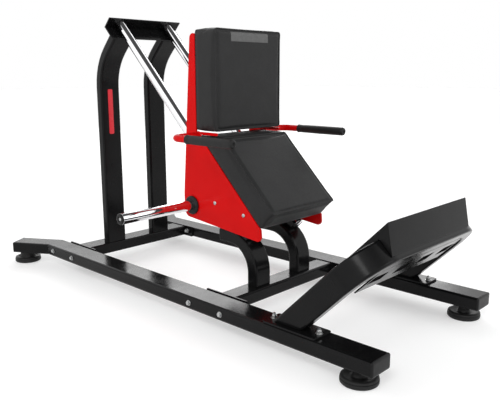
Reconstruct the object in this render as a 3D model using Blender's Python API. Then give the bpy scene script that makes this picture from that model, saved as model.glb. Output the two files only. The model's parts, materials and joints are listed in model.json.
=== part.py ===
"""Hack squat machine: a welded base, two inclined guide rods and a sliding carriage with pads.

Frame: metres, +Z up, +X towards the foot plate, +Y to the user's left. The origin lies on the floor
under the middle of the machine. "Along" and "off" are measured on the guide rods: along grows
down and forward, parallel to the rods, and off grows up and forward, square to them.
"""

import math

import bmesh
import bpy
from mathutils import Matrix, Vector

# Driving dimensions, in metres
GAP = 0.0003                       # clearance between pieces that touch
WALL = 0.003                       # wall of the main tubes
TUBE_WIDE = 0.120                  # main tube, wide side
TUBE_NARROW = 0.060                # main tube, narrow side
TUBE_CORNER = 0.009                # outside corner radius of the main tubes
CORNER_STEPS = 2                   # facets in each rounded corner

HALF_LENGTH = 1.210                # from the origin to either end of the rails
RAIL_Y = 0.417                     # centre line of the straight part of a rail
RAIL_TOP = 0.120
RAIL_BOTTOM = RAIL_TOP - TUBE_NARROW
SPLAY_ANGLE = math.radians(32)     # the rear end of each rail turns out by this
SPLAY_LENGTH = 0.242               # centre line of the turned part, with its cap
CAP_THICK = 0.008
CAP_PLUG = 0.020                   # how far a cap's plug reaches into its tube

FLANGE_LENGTH = 0.260              # plates that join the cross tubes to the rails
FLANGE_THICK = 0.008
FLANGE_PROUD = 0.004
REAR_CROSS_X = -0.780
FRONT_CROSS_X = 0.387
FRONT_CROSS_WIDE = 0.100

UPRIGHT_Y = 0.160
UPRIGHT_DEEP = 0.050
UPRIGHT_X = -0.750
UPRIGHT_BEND_Z = 1.003             # the straight part ends here
UPRIGHT_BEND = 0.275               # centre line radius of the bend

SLOPE = math.radians(45)           # the rods fall forward at this angle
ROD_Y = 0.157
ROD_RADIUS = 0.025
ROD_OFF = 0.5127                   # off coordinate of the rods
BRACKET_THICK = 0.006
BRACKET_UPPER = 0.065              # leg that the rods end on
BRACKET_LOWER = 0.086              # leg that the uprights carry
BRACKET_HALF = 0.237               # half its length across the machine
BRACKET_ALONG = -1.3824            # back face of the upper leg
BRACKET_OFF = ROD_OFF - 0.0325     # under face of the lower leg
ROD_TOP = BRACKET_ALONG + BRACKET_THICK + GAP
ROD_BOTTOM = 0.012
LEG_Y = 0.147
LEG_WIDE = 0.096
LEG_BEND_Z = 0.180                 # centre of the leg's quarter bend
LEG_BEND = 0.150                   # centre line radius of the bend
LEG_END_X = 0.184                  # rear end of the leg, before its cap

SADDLE_LENGTH = 0.075              # cradle that holds the lower end of a rod
SADDLE_DEEP = 0.062
SADDLE_HALF = 0.032
BUMPER_RADIUS = 0.036
BUMPER_LENGTH = 0.0362

FOOT_RADIUS = 0.072
FOOT_FROM_END = 0.088              # centre of a front foot behind the end of the rail
FOOT_FROM_KINK = 0.183             # centre of a rear foot along the turned part

# Foot plate: a bent tube hoop that leans 45 degrees forward, with a sheet metal wedge on it
HOOP_PLANE = 0.6795                # x - z of the hoop's centre plane
HOOP_DEEP = 0.100                  # its tube, square to the plane it is bent in
HOOP_BEND = 0.145                  # centre line radius of its two bends
HOOP_HEIGHT = 0.4476               # centre line of the part across, up from the base plates
BASE_PLATE_X = 0.8305              # middle of the plates that the hoop stands on
BASE_PLATE_LENGTH = 0.260
BASE_PLATE_WIDE = 0.106
BASE_PLATE_THICK = 0.008
SHEET = 0.006
TREAD_HALF = 0.305
TREAD_PROUD = 0.0225               # the tread stands this far off the hoop, towards the user
TREAD_LOW_Z = 0.210
TREAD_TOP_Z = 0.566
SKIRT_FOOT_X = 1.166
PANEL_HALF = 0.322
PANEL_LOW = 0.262                  # heights on the slotted panel, up from the base plates
SLOT_V = 0.345
SLOT_TALL = 0.055
SLOT_WIDE = 0.095
SLOT_PITCH = 0.175
SLOT_COUNT = 4

# Carriage
PLATE_Y = 0.222                    # outer face of a side plate
PLATE_THICK = 0.010
PAD_HALF = 0.222
BACK_X = 0.055                     # rear face of the back board
BACK_FRONT_X = 0.193
BACK_BOTTOM_Z = 0.812
BACK_TOP_Z = 1.276
BOARD = 0.015
SEAT_OFF = 0.6152                  # rear face of the seat board, off the rods' axes
SEAT_FRONT_OFF = 0.7217
SEAT_END = 0.043                   # along coordinate of the seat's lower end
SEAT_TOP_Z = 0.793
BUSH_RADIUS = 0.032
BUSH_LENGTH = 0.100
RUNNING_CLEARANCE = 0.0001
HOUSING_RADIUS = 0.040
HOUSING_TOP = -0.545
HOUSING_BOTTOM = -0.100
HANDLE_RADIUS = 0.016
HANDLE_X = 0.073
HANDLE_Y = 0.385
HANDLE_Z = 0.7925
HANDLE_BEND = 0.055
GRIP_RADIUS = 0.0205
GRIP_START_X = 0.180
GRIP_END_X = 0.466
HORN_X = 0.020
HORN_Z = 0.453
SLEEVE_RADIUS = 0.025
SLEEVE_END_Y = 0.645
COLLAR_RADIUS = 0.045
COLLAR_THICK = 0.012

COLOURS = {                        # base colour, roughness, metallic
    "black_paint": ((0.020, 0.020, 0.022, 1), 0.35, 0.0),
    "red_paint": ((0.70, 0.010, 0.012, 1), 0.25, 0.0),
    "chrome": ((0.80, 0.80, 0.82, 1), 0.08, 1.0),
    "zinc": ((0.62, 0.62, 0.64, 1), 0.30, 1.0),
    "bronze": ((0.45, 0.30, 0.14, 1), 0.40, 1.0),
    "rubber": ((0.015, 0.015, 0.016, 1), 0.75, 0.0),
    "plastic": ((0.018, 0.018, 0.019, 1), 0.50, 0.0),
    "vinyl": ((0.045, 0.045, 0.048, 1), 0.55, 0.0),
    "plywood": ((0.42, 0.29, 0.16, 1), 0.70, 0.0),
}
SIDES = (("left", 1), ("right", -1))


# ---------------------------------------------------------------- helpers

def clear_scene():
    for thing in list(bpy.data.objects):
        bpy.data.objects.remove(thing, do_unlink=True)


def material(name):
    found = bpy.data.materials.get(name)
    if found:
        return found
    colour, roughness, metallic = COLOURS[name]
    made = bpy.data.materials.new(name)
    made.use_nodes = True
    shader = made.node_tree.nodes["Principled BSDF"]
    shader.inputs["Base Color"].default_value = colour
    shader.inputs["Roughness"].default_value = roughness
    shader.inputs["Metallic"].default_value = metallic
    return made


def body_empty(name, position):
    empty = bpy.data.objects.new(name, None)
    empty.location = position
    bpy.context.collection.objects.link(empty)
    return empty


def finish(name, bm, finish_name, parent, pivot, smooth=35):
    """Turns a bmesh in machine coordinates into an object whose origin is at pivot."""
    bmesh.ops.recalc_face_normals(bm, faces=bm.faces)
    mesh = bpy.data.meshes.new(name)
    bm.transform(Matrix.Translation(-Vector(pivot)))
    bm.to_mesh(mesh)
    bm.free()
    mesh.materials.append(material(finish_name))
    mesh.shade_smooth()
    mesh.set_sharp_from_angle(angle=math.radians(smooth))
    made = bpy.data.objects.new(name, mesh)
    made.parent = parent
    made.location = Vector(pivot) - parent.location
    bpy.context.collection.objects.link(made)
    return made


def boolean(target, other, operation):
    """Joins or cuts with another object, which then stays hidden as a guide."""
    modifier = target.modifiers.new(operation.lower(), "BOOLEAN")
    modifier.operation = operation
    modifier.solver = "EXACT"
    modifier.object = other
    other.hide_render = True
    other.display_type = "WIRE"


def on_slope(along, off, y=0.0):
    """The machine coordinates of a point given along and off the rods."""
    return Vector(((along + off) * math.cos(SLOPE), y, (off - along) * math.sin(SLOPE)))


DOWN_ROD = on_slope(1, 0)
OFF_ROD = on_slope(0, 1)
ACROSS = Vector((0, 1, 0))


def rounded_rectangle(wide, tall, radius, steps=CORNER_STEPS):
    """Corner arcs of a rectangle centred on the origin, counter-clockwise."""
    points = []
    centres = ((1, 1, 0), (-1, 1, 90), (-1, -1, 180), (1, -1, 270))
    for side_a, side_b, start in centres:
        centre_a = side_a * (wide / 2 - radius)
        centre_b = side_b * (tall / 2 - radius)
        for step in range(steps + 1):
            angle = math.radians(start + 90 * step / steps)
            points.append((centre_a + radius * math.cos(angle), centre_b + radius * math.sin(angle)))
    return points


def arc(centre, radius, start, end, steps):
    """Points on an arc in a plane, with the angles in degrees, both ends included."""
    points = []
    for step in range(steps + 1):
        angle = math.radians(start + (end - start) * step / steps)
        points.append((centre[0] + radius * math.cos(angle), centre[1] + radius * math.sin(angle)))
    return points


def joined(*runs):
    """One path out of several runs of points, without repeating a shared end."""
    path = []
    for run in runs:
        for point in run:
            if not path or math.dist(path[-1], point) > 1e-6:
                path.append(point)
    return path


def mitred_offsets(path):
    """For each point of a plane path, its sideways direction, stretched to mitre the corner."""
    offsets = []
    for index in range(len(path)):
        before = Vector(path[index]) - Vector(path[max(index - 1, 0)])
        after = Vector(path[min(index + 1, len(path) - 1)]) - Vector(path[index])
        before = before.normalized() if before.length else after.normalized()
        after = after.normalized() if after.length else before
        tangent = (before + after).normalized()
        sideways = Vector((-tangent.y, tangent.x))
        offsets.append(sideways / max(tangent.dot(after), 0.2))
    return offsets


def swept(bm, path, place, profile, end_plane=None):
    """Rings of a profile along a plane path. place(u, v, w) gives machine coordinates, and the
    profile is (sideways in the plane, along w). end_plane, a point and a normal, cuts both ends."""
    rings = []
    offsets = mitred_offsets(path)
    for index, (point, offset) in enumerate(zip(path, offsets)):
        ring = []
        for sideways, outward in profile:
            where = Vector(point) + offset * sideways
            ring.append(place(where.x, where.y, outward))
        if end_plane and index in (0, len(path) - 1):
            neighbour = path[1] if index == 0 else path[-2]
            run = place(*point, 0) - place(*neighbour, 0)
            on, normal = end_plane
            ring = [spot + run * ((on - spot).dot(normal) / run.dot(normal)) for spot in ring]
        rings.append([bm.verts.new(spot) for spot in ring])
    for first, second in zip(rings, rings[1:]):
        for index in range(len(first)):
            follow = (index + 1) % len(first)
            bm.faces.new((first[index], first[follow], second[follow], second[index]))
    return rings


def swept_tube(path, place, outer, inner, end_plane=None):
    """A hollow tube with open ends along a plane path."""
    bm = bmesh.new()
    outside = swept(bm, path, place, outer, end_plane)
    inside = swept(bm, path, place, inner, end_plane)
    for end in (0, -1):
        for index in range(len(outer)):
            follow = (index + 1) % len(outer)
            outer_pair = (outside[end][index], outside[end][follow])
            bm.faces.new(outer_pair + (inside[end][follow], inside[end][index]))
    return bm


def swept_bar(path, place, profile):
    """A solid bar with closed ends along a plane path."""
    bm = bmesh.new()
    rings = swept(bm, path, place, profile)
    bm.faces.new(rings[0])
    bm.faces.new(rings[-1])
    return bm


def section(wide, tall, radius, wall):
    """Outer and inner outline of a rectangular tube."""
    outer = rounded_rectangle(wide, tall, radius)
    inner = rounded_rectangle(wide - 2 * wall, tall - 2 * wall, radius - wall)
    return outer, inner


def prism(outline, place, low, high):
    """A plate: an outline in a plane, thickened from low to high along w."""
    bm = bmesh.new()
    bottom = [bm.verts.new(place(u, v, low)) for u, v in outline]
    top = [bm.verts.new(place(u, v, high)) for u, v in outline]
    bm.faces.new(bottom)
    bm.faces.new(top)
    for index in range(len(outline)):
        follow = (index + 1) % len(outline)
        bm.faces.new((bottom[index], bottom[follow], top[follow], top[index]))
    return bm


def turned(profile, start, direction, steps=36):
    """A solid of revolution. profile is (distance along direction, radius), ends at radius 0."""
    direction = Vector(direction).normalized()
    across = direction.orthogonal().normalized()
    other = direction.cross(across)
    bm = bmesh.new()
    rings = []
    for along, radius in profile:
        centre = Vector(start) + direction * along
        if radius == 0:
            rings.append([bm.verts.new(centre)])
            continue
        ring = []
        for step in range(steps):
            angle = 2 * math.pi * step / steps
            spoke = across * math.cos(angle) + other * math.sin(angle)
            ring.append(bm.verts.new(centre + spoke * radius))
        rings.append(ring)
    for first, second in zip(rings, rings[1:]):
        for step in range(steps):
            follow = (step + 1) % steps
            if len(first) == 1:
                bm.faces.new((first[0], second[step], second[follow]))
            elif len(second) == 1:
                bm.faces.new((first[step], second[0], first[follow]))
            else:
                bm.faces.new((first[step], second[step], second[follow], first[follow]))
    return bm


def rod(start, end, radius, steps=36, edge=0.001):
    """A plain round bar with a small chamfer at both ends."""
    length = (Vector(end) - Vector(start)).length
    profile = ((0, 0), (0, radius - edge), (edge, radius),
               (length - edge, radius), (length, radius - edge), (length, 0))
    return turned(profile, start, Vector(end) - Vector(start), steps)


def pipe(start, end, outer, inner, steps=36):
    """A round tube with open ends."""
    axis = Vector(end) - Vector(start)
    direction = axis.normalized()
    across = direction.orthogonal().normalized()
    other = direction.cross(across)
    bm = bmesh.new()
    rings = []
    for centre, radius in ((start, inner), (start, outer), (end, outer), (end, inner)):
        ring = []
        for step in range(steps):
            angle = 2 * math.pi * step / steps
            spoke = across * math.cos(angle) + other * math.sin(angle)
            ring.append(bm.verts.new(Vector(centre) + spoke * radius))
        rings.append(ring)
    for index, first in enumerate(rings):
        second = rings[(index + 1) % len(rings)]
        for step in range(steps):
            follow = (step + 1) % steps
            bm.faces.new((first[step], second[step], second[follow], first[follow]))
    return bm


def slab(centre, axes, sizes, radius=0.0):
    """A block on three axes. A radius rounds its corners in the plane of the first two."""
    if radius:
        outline = rounded_rectangle(sizes[0], sizes[1], radius)
    else:
        half_a, half_b = sizes[0] / 2, sizes[1] / 2
        outline = [(half_a, half_b), (-half_a, half_b), (-half_a, -half_b), (half_a, -half_b)]

    def place(u, v, w):
        return Vector(centre) + axes[0] * u + axes[1] * v + axes[2] * w

    return prism(outline, place, -sizes[2] / 2, sizes[2] / 2)


# ---------------------------------------------------------------- base frame

def rail_path(side):
    """Centre line of a rail in plan, from the front end to the rear end, without the caps."""
    kink = Vector((-HALF_LENGTH + rear_reach(), side * RAIL_Y))
    turned_part = Vector((-math.cos(SPLAY_ANGLE), side * math.sin(SPLAY_ANGLE)))
    front = Vector((HALF_LENGTH - CAP_THICK - GAP, side * RAIL_Y))
    rear = kink + turned_part * (SPLAY_LENGTH - CAP_THICK - GAP)
    return front, kink, rear, turned_part


def rear_reach():
    """How far the turned part reaches behind the kink, measured at its rearmost corner."""
    return SPLAY_LENGTH * math.cos(SPLAY_ANGLE) + TUBE_WIDE / 2 * math.sin(SPLAY_ANGLE)


def flat_place(level):
    def place(u, v, w):
        return Vector((u, v, level + w))
    return place


def side_place(y):
    def place(u, v, w):
        return Vector((u, y + w, v))
    return place


def tube_cap(name, end, outward, sideways, upward, wide, tall, parent):
    """A cap whose plug slides into an open tube end."""
    axes = (sideways, upward, outward)
    cap_centre = end + outward * (GAP + CAP_THICK / 2)
    cap = slab(cap_centre, axes, (wide, tall, CAP_THICK), TUBE_CORNER)
    made = finish(name, cap, "plastic", parent, end)
    inside = 2 * (WALL + 0.001)
    plug_centre = end - outward * (CAP_PLUG / 2 - CAP_THICK / 2)
    plug_size = (wide - inside, tall - inside, CAP_PLUG + CAP_THICK)
    plug = slab(plug_centre, axes, plug_size, TUBE_CORNER - WALL)
    boolean(made, finish(name + "_plug", plug, "plastic", parent, end), "UNION")
    return made


def build_rails(parent):
    outer, inner = section(TUBE_WIDE, TUBE_NARROW, TUBE_CORNER, WALL)
    level = (RAIL_TOP + RAIL_BOTTOM) / 2
    for name, side in SIDES:
        front, kink, rear, turned_part = rail_path(side)
        path = [tuple(front), tuple(kink), tuple(rear)]
        rail = swept_tube(path, flat_place(level), outer, inner)
        finish("rail_" + name, rail, "black_paint", parent, (0, side * RAIL_Y, level))
        front_end = Vector((front.x, front.y, level))
        tube_cap("rail_cap_front_" + name, front_end, Vector((1, 0, 0)), ACROSS, Vector((0, 0, 1)),
                 TUBE_WIDE, TUBE_NARROW, parent)
        outward = Vector((turned_part.x, turned_part.y, 0))
        rear_end = Vector((rear.x, rear.y, level))
        tube_cap("rail_cap_rear_" + name, rear_end, outward, Vector((-outward.y, outward.x, 0)),
                 Vector((0, 0, 1)), TUBE_WIDE, TUBE_NARROW, parent)


def build_feet(parent):
    profile = ((0, 0), (0, 0.066), (0.004, FOOT_RADIUS), (0.020, FOOT_RADIUS), (0.028, 0.068),
               (0.031, 0.061), (0.029, 0.052), (0.024, 0.034), (0.026, 0.018), (0.040, 0.016),
               (0.040, 0.024), (RAIL_BOTTOM - GAP, 0.024), (RAIL_BOTTOM - GAP, 0))
    for name, side in SIDES:
        front, kink, rear, turned_part = rail_path(side)
        front_spot = (HALF_LENGTH - FOOT_FROM_END, side * RAIL_Y, 0)
        rear_spot = kink + turned_part * FOOT_FROM_KINK
        spots = (("front", front_spot), ("rear", (rear_spot.x, rear_spot.y, 0)))
        for place_name, spot in spots:
            foot = turned(profile, spot, (0, 0, 1), 28)
            finish("foot_" + place_name + "_" + name, foot, "rubber", parent, spot)


def build_cross_tubes(parent):
    """Each cross tube with a flange plate welded to both ends."""
    level = (RAIL_TOP + RAIL_BOTTOM) / 2
    inner_face = RAIL_Y - TUBE_WIDE / 2 - GAP
    for name, x, wide in (("rear", REAR_CROSS_X, TUBE_WIDE), ("front", FRONT_CROSS_X, FRONT_CROSS_WIDE)):
        outer, inner = section(wide, TUBE_NARROW, TUBE_CORNER, WALL)
        reach = inner_face - FLANGE_THICK / 2

        def place(u, v, w, x=x):
            return Vector((x - v, u, level + w))

        tube = swept_tube([(-reach, 0), (reach, 0)], place, outer, inner)
        made = finish(name + "_cross_tube", tube, "black_paint", parent, (x, 0, level))
        for side in (1, -1):
            centre = Vector((x, side * (inner_face - FLANGE_THICK / 2), level + FLANGE_PROUD / 2))
            size = (FLANGE_LENGTH, TUBE_NARROW + FLANGE_PROUD, FLANGE_THICK)
            axes = (Vector((1, 0, 0)), Vector((0, 0, 1)), ACROSS)
            guide = name + "_flange_" + ("left" if side > 0 else "right")
            flange = finish(guide, slab(centre, axes, size, 0.006), "black_paint", parent, centre)
            boolean(made, flange, "UNION")
        drain = rod((x, -inner_face - 0.02, level), (x, inner_face + 0.02, level), 0.012, 20)
        boolean(made, finish(name + "_drain", drain, "black_paint", parent, (x, 0, level)), "DIFFERENCE")


def build_uprights(parent):
    """Flat tubes that rise from the rear cross tube and lean over to the top bracket."""
    outer, inner = section(UPRIGHT_DEEP, TUBE_WIDE, TUBE_CORNER, WALL)
    centre = (UPRIGHT_X + UPRIGHT_BEND, UPRIGHT_BEND_Z)
    bend = arc(centre, UPRIGHT_BEND, 180, 135, 6)
    bent_end = Vector(bend[-1])
    end_off = (bent_end.x + bent_end.y) * math.cos(SLOPE)
    straight = BRACKET_OFF - GAP - end_off
    top = bent_end + Vector((straight * math.cos(SLOPE), straight * math.sin(SLOPE)))
    path = joined([(UPRIGHT_X, RAIL_TOP + GAP)], bend, [tuple(top)])
    for name, side in SIDES:
        upright = swept_tube(path, side_place(side * UPRIGHT_Y), outer, inner)
        finish("upright_" + name, upright, "black_paint", parent, (UPRIGHT_X, side * UPRIGHT_Y, RAIL_TOP))


def build_top_bracket(parent):
    """An angle across the top: its upper leg stops the rods, its lower leg rests on the uprights."""
    outline = [
        (BRACKET_ALONG, BRACKET_OFF),
        (BRACKET_ALONG + BRACKET_LOWER, BRACKET_OFF),
        (BRACKET_ALONG + BRACKET_LOWER, BRACKET_OFF + BRACKET_THICK),
        (BRACKET_ALONG + BRACKET_THICK, BRACKET_OFF + BRACKET_THICK),
        (BRACKET_ALONG + BRACKET_THICK, BRACKET_OFF + BRACKET_UPPER),
        (BRACKET_ALONG, BRACKET_OFF + BRACKET_UPPER),
    ]
    bracket = prism(outline, on_slope, -BRACKET_HALF, BRACKET_HALF)
    pivot = on_slope(BRACKET_ALONG, ROD_OFF)
    made = finish("top_bracket", bracket, "black_paint", parent, pivot)
    for name, side in SIDES:
        start = on_slope(BRACKET_ALONG - 0.02, ROD_OFF, side * ROD_Y)
        end = on_slope(BRACKET_ALONG + 0.02, ROD_OFF, side * ROD_Y)
        hole = finish("bracket_hole_" + name, rod(start, end, 0.0085, 24), "black_paint", parent, start)
        boolean(made, hole, "DIFFERENCE")


def build_rods(parent):
    """Guide rods, tapped at the top for the screws that hold them to the bracket."""
    for name, side in SIDES:
        top = on_slope(ROD_TOP, ROD_OFF, side * ROD_Y)
        bottom = on_slope(ROD_BOTTOM, ROD_OFF, side * ROD_Y)
        guide = finish("guide_rod_" + name, rod(top, bottom, ROD_RADIUS, 36), "chrome", parent, bottom)
        tapped = rod(top - DOWN_ROD * 0.01, top + DOWN_ROD * 0.042, 0.0083, 24)
        boolean(guide, finish("rod_tapping_" + name, tapped, "chrome", parent, top), "DIFFERENCE")
        head = on_slope(BRACKET_ALONG - GAP, ROD_OFF, side * ROD_Y)
        profile = ((-0.010, 0), (-0.010, 0.011), (-0.009, 0.012), (0, 0.012), (0, 0.008),
                   (0.044, 0.008), (0.044, 0))
        screw = turned(profile, head, DOWN_ROD, 24)
        finish("rod_screw_" + name, screw, "zinc", parent, head)


def build_legs(parent):
    """Tubes that rise from the front cross tube and curl back under the carriage."""
    outer, inner = section(TUBE_NARROW, LEG_WIDE, TUBE_CORNER, WALL)
    centre = (FRONT_CROSS_X - LEG_BEND, LEG_BEND_Z)
    path = joined([(FRONT_CROSS_X, RAIL_TOP + GAP)], arc(centre, LEG_BEND, 0, 90, 9),
                  [(LEG_END_X, LEG_BEND_Z + LEG_BEND)])
    for name, side in SIDES:
        leg = swept_tube(path, side_place(side * LEG_Y), outer, inner)
        finish("leg_" + name, leg, "black_paint", parent, (FRONT_CROSS_X, side * LEG_Y, RAIL_TOP))
        end = Vector((LEG_END_X, side * LEG_Y, LEG_BEND_Z + LEG_BEND))
        tube_cap("leg_cap_" + name, end, Vector((-1, 0, 0)), ACROSS, Vector((0, 0, 1)),
                 LEG_WIDE, TUBE_NARROW, parent)


def build_rod_saddles(parent):
    """Cradles welded on the bend of the legs that hold the rods, with rubber stops above them."""
    top = ROD_BOTTOM - SADDLE_LENGTH
    for name, side in SIDES:
        block_centre = on_slope(ROD_BOTTOM - SADDLE_LENGTH / 2, ROD_OFF - SADDLE_DEEP / 2, side * ROD_Y)
        size = (SADDLE_LENGTH, SADDLE_DEEP, 2 * SADDLE_HALF)
        block = slab(block_centre, (DOWN_ROD, OFF_ROD, ACROSS), size)
        made = finish("rod_saddle_" + name, block, "black_paint", parent, block_centre)
        bore_start = on_slope(top - 0.02, ROD_OFF, side * ROD_Y)
        bore_end = on_slope(ROD_BOTTOM + 0.02, ROD_OFF, side * ROD_Y)
        bore = rod(bore_start, bore_end, ROD_RADIUS + GAP, 36)
        boolean(made, finish("saddle_bore_" + name, bore, "black_paint", parent, bore_end), "DIFFERENCE")
        axis = Vector((FRONT_CROSS_X - LEG_BEND, side * ROD_Y, LEG_BEND_Z))
        radius = LEG_BEND + TUBE_NARROW / 2 + 2 * GAP
        bend = rod(axis - ACROSS * 0.08, axis + ACROSS * 0.08, radius, 96)
        boolean(made, finish("saddle_bend_" + name, bend, "black_paint", parent, axis), "DIFFERENCE")
        low = on_slope(top - GAP, ROD_OFF, side * ROD_Y)
        high = on_slope(top - GAP - BUMPER_LENGTH, ROD_OFF, side * ROD_Y)
        stop = pipe(low, high, BUMPER_RADIUS, ROD_RADIUS + GAP, 28)
        finish("rubber_stop_" + name, stop, "rubber", parent, low)


# ---------------------------------------------------------------- foot plate

def hoop_place(u, v, w):
    """u across the machine, v up the leaning plane, w square to it, down and forward."""
    base_x = HOOP_PLANE + RAIL_TOP + BASE_PLATE_THICK
    base = Vector((base_x, 0, RAIL_TOP + BASE_PLATE_THICK))
    return base + ACROSS * u + OFF_ROD * v + DOWN_ROD * w


def hoop_path():
    """Centre line of the hoop from the right flange up, across and down to the left flange."""
    corner = arc((-RAIL_Y + HOOP_BEND, HOOP_HEIGHT - HOOP_BEND), HOOP_BEND, 180, 90, 9)
    half = joined([(-RAIL_Y, 0)], corner)
    mirrored = [(-u, v) for u, v in reversed(half)]
    return joined(half, mirrored)


def build_hoop(parent):
    outer, inner = section(TUBE_NARROW, HOOP_DEEP, TUBE_CORNER, WALL)
    floor = (Vector((0, 0, RAIL_TOP + BASE_PLATE_THICK + 2 * GAP)), Vector((0, 0, 1)))
    hoop = swept_tube(hoop_path(), hoop_place, outer, inner, floor)
    finish("footplate_hoop", hoop, "black_paint", parent, hoop_place(0, HOOP_HEIGHT, 0))
    for name, side in SIDES:
        centre = Vector((BASE_PLATE_X, side * RAIL_Y, RAIL_TOP + GAP + BASE_PLATE_THICK / 2))
        size = (BASE_PLATE_LENGTH, BASE_PLATE_WIDE, BASE_PLATE_THICK)
        axes = (Vector((1, 0, 0)), ACROSS, Vector((0, 0, 1)))
        finish("hoop_base_plate_" + name, slab(centre, axes, size, 0.010), "black_paint", parent, centre)


def build_foot_plate(parent):
    """One welded piece: a tread that faces the user, a skirt in front of it and two closed ends."""
    tread = HOOP_PLANE - HOOP_DEEP / math.sqrt(2) - TREAD_PROUD * math.sqrt(2)
    deck_off = hoop_place(0, HOOP_HEIGHT + TUBE_NARROW / 2, 0)
    deck = deck_off.x + deck_off.z + GAP * 2
    hoop_rear = HOOP_PLANE - HOOP_DEEP / math.sqrt(2) - GAP * 2
    low = Vector((tread + TREAD_LOW_Z, TREAD_LOW_Z))
    top = Vector((tread + TREAD_TOP_Z, TREAD_TOP_Z))
    foot = Vector((SKIRT_FOOT_X, deck - SKIRT_FOOT_X))
    tread_in = Vector((1, -1)).normalized() * SHEET
    skirt_in = Vector((foot.y - top.y, top.x - foot.x)).normalized() * SHEET
    inner_top = top + Vector((0, -SHEET / math.sin(math.radians(24))))
    inner_foot = foot + Vector((-SHEET * 1.05, SHEET * 1.05))
    outline = [tuple(low), tuple(low + tread_in), tuple(inner_top),
               tuple(inner_foot), tuple(foot), tuple(top)]
    plate = prism(outline, side_place(0), -TREAD_HALF, TREAD_HALF)
    made = finish("foot_plate", plate, "black_paint", parent, (top.x, 0, top.y), 20)
    inset = 0.4
    rest = Vector(((low.x + low.y + hoop_rear) / 2, (low.x + low.y - hoop_rear) / 2))
    corner = Vector(((deck + hoop_rear) / 2, (deck - hoop_rear) / 2))
    tucked_foot = foot + Vector((-SHEET / 2, SHEET / 2))
    ends = [tuple(low + tread_in * inset), tuple(rest), tuple(corner), tuple(tucked_foot),
            tuple(top + Vector((0, -SHEET)))]
    for name, side in SIDES:
        middle = side * (TREAD_HALF - SHEET / 2)
        panel = prism(ends, side_place(middle), -SHEET / 2 + 0.0004, SHEET / 2 - 0.0004)
        guide = finish("plate_end_" + name, panel, "black_paint", parent, (top.x, middle, top.y))
        boolean(made, guide, "UNION")


def build_front_panel(parent):
    """A slotted panel that closes the front of the hoop between its arms."""
    inner_bend = HOOP_BEND - TUBE_NARROW / 2
    centre = (RAIL_Y - HOOP_BEND, HOOP_HEIGHT - HOOP_BEND)
    shoulder = math.degrees(math.acos((PANEL_HALF - centre[0]) / inner_bend))
    curve = arc(centre, inner_bend - 0.002, shoulder, 90, 6)
    half = [(PANEL_HALF - 0.002, PANEL_LOW)] + curve
    outline = half + [(-u, v) for u, v in reversed(half)]
    front = HOOP_DEEP / 2 - 0.002
    panel = prism(outline, hoop_place, front - SHEET, front)
    made = finish("slotted_panel", panel, "black_paint", parent, hoop_place(0, PANEL_LOW, front))
    for index in range(SLOT_COUNT):
        middle = hoop_place((index - (SLOT_COUNT - 1) / 2) * SLOT_PITCH, SLOT_V, front)
        axes = (ACROSS, OFF_ROD, DOWN_ROD)
        cutter = slab(middle, axes, (SLOT_WIDE, SLOT_TALL, 0.05), 0.008)
        guide = finish("panel_slot_%d" % index, cutter, "black_paint", parent, middle)
        boolean(made, guide, "DIFFERENCE")


# ---------------------------------------------------------------- carriage

def rounded_outline(corners, steps=5):
    """An outline from (x, z, radius) corners, with an arc in each corner that has a radius."""
    points = []
    count = len(corners)
    for index, (x, z, radius) in enumerate(corners):
        here = Vector((x, z))
        if radius == 0:
            points.append((x, z))
            continue
        before = (Vector(corners[index - 1][:2]) - here).normalized()
        after = (Vector(corners[(index + 1) % count][:2]) - here).normalized()
        half_angle = before.angle(after) / 2
        reach = radius / math.tan(half_angle)
        centre = here + (before + after).normalized() * radius / math.sin(half_angle)
        first = here + before * reach - centre
        last = here + after * reach - centre
        for step in range(steps + 1):
            blend = step / steps
            spoke = first.slerp(last, blend).normalized() * radius
            points.append(tuple(centre + spoke))
    return points


def build_side_plates(parent):
    """Plates that carry the pads in front and the bearing housings, the bars and the horns inside."""
    seat_line = (SEAT_OFF - 0.0015) * math.sqrt(2)
    tongue_low = SEAT_TOP_Z + 0.003
    tongue_high = BACK_BOTTOM_Z - 0.003
    front = BACK_X - 2 * GAP
    corners = [
        (front, BACK_TOP_Z - 0.020, 0.010),
        (0.021, BACK_TOP_Z - 0.020, 0.022),
        (-0.041, 0.500, 0.300),
        (-0.036, 0.394, 0.035),
        (0.469, 0.345, 0.022),
        (0.464, seat_line - 0.464, 0.006),
        (seat_line - tongue_low, tongue_low, 0.0),
        (BACK_FRONT_X, tongue_low, 0.003),
        (BACK_FRONT_X, tongue_high, 0.003),
        (front, tongue_high, 0.0),
    ]
    outline = rounded_outline(corners)
    for name, side in SIDES:
        low, high = sorted((side * PLATE_Y, side * (PLATE_Y - PLATE_THICK)))
        plate = prism(outline, side_place(0), low, high)
        finish("side_plate_" + name, plate, "red_paint", parent, (HORN_X, side * PLATE_Y, HORN_Z))


def across_tube(name, centre, axes, size, parent, corner=0.006):
    """A rectangular tube between the side plates. axes and size give its section."""
    reach = PLATE_Y - PLATE_THICK - GAP
    outer, inner = section(size[0], size[1], corner, WALL)

    def place(u, v, w):
        return Vector(centre) + ACROSS * u + axes[0] * v + axes[1] * w

    tube = swept_tube([(-reach, 0), (reach, 0)], place, outer, inner)
    finish(name, tube, "red_paint", parent, centre)


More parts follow.
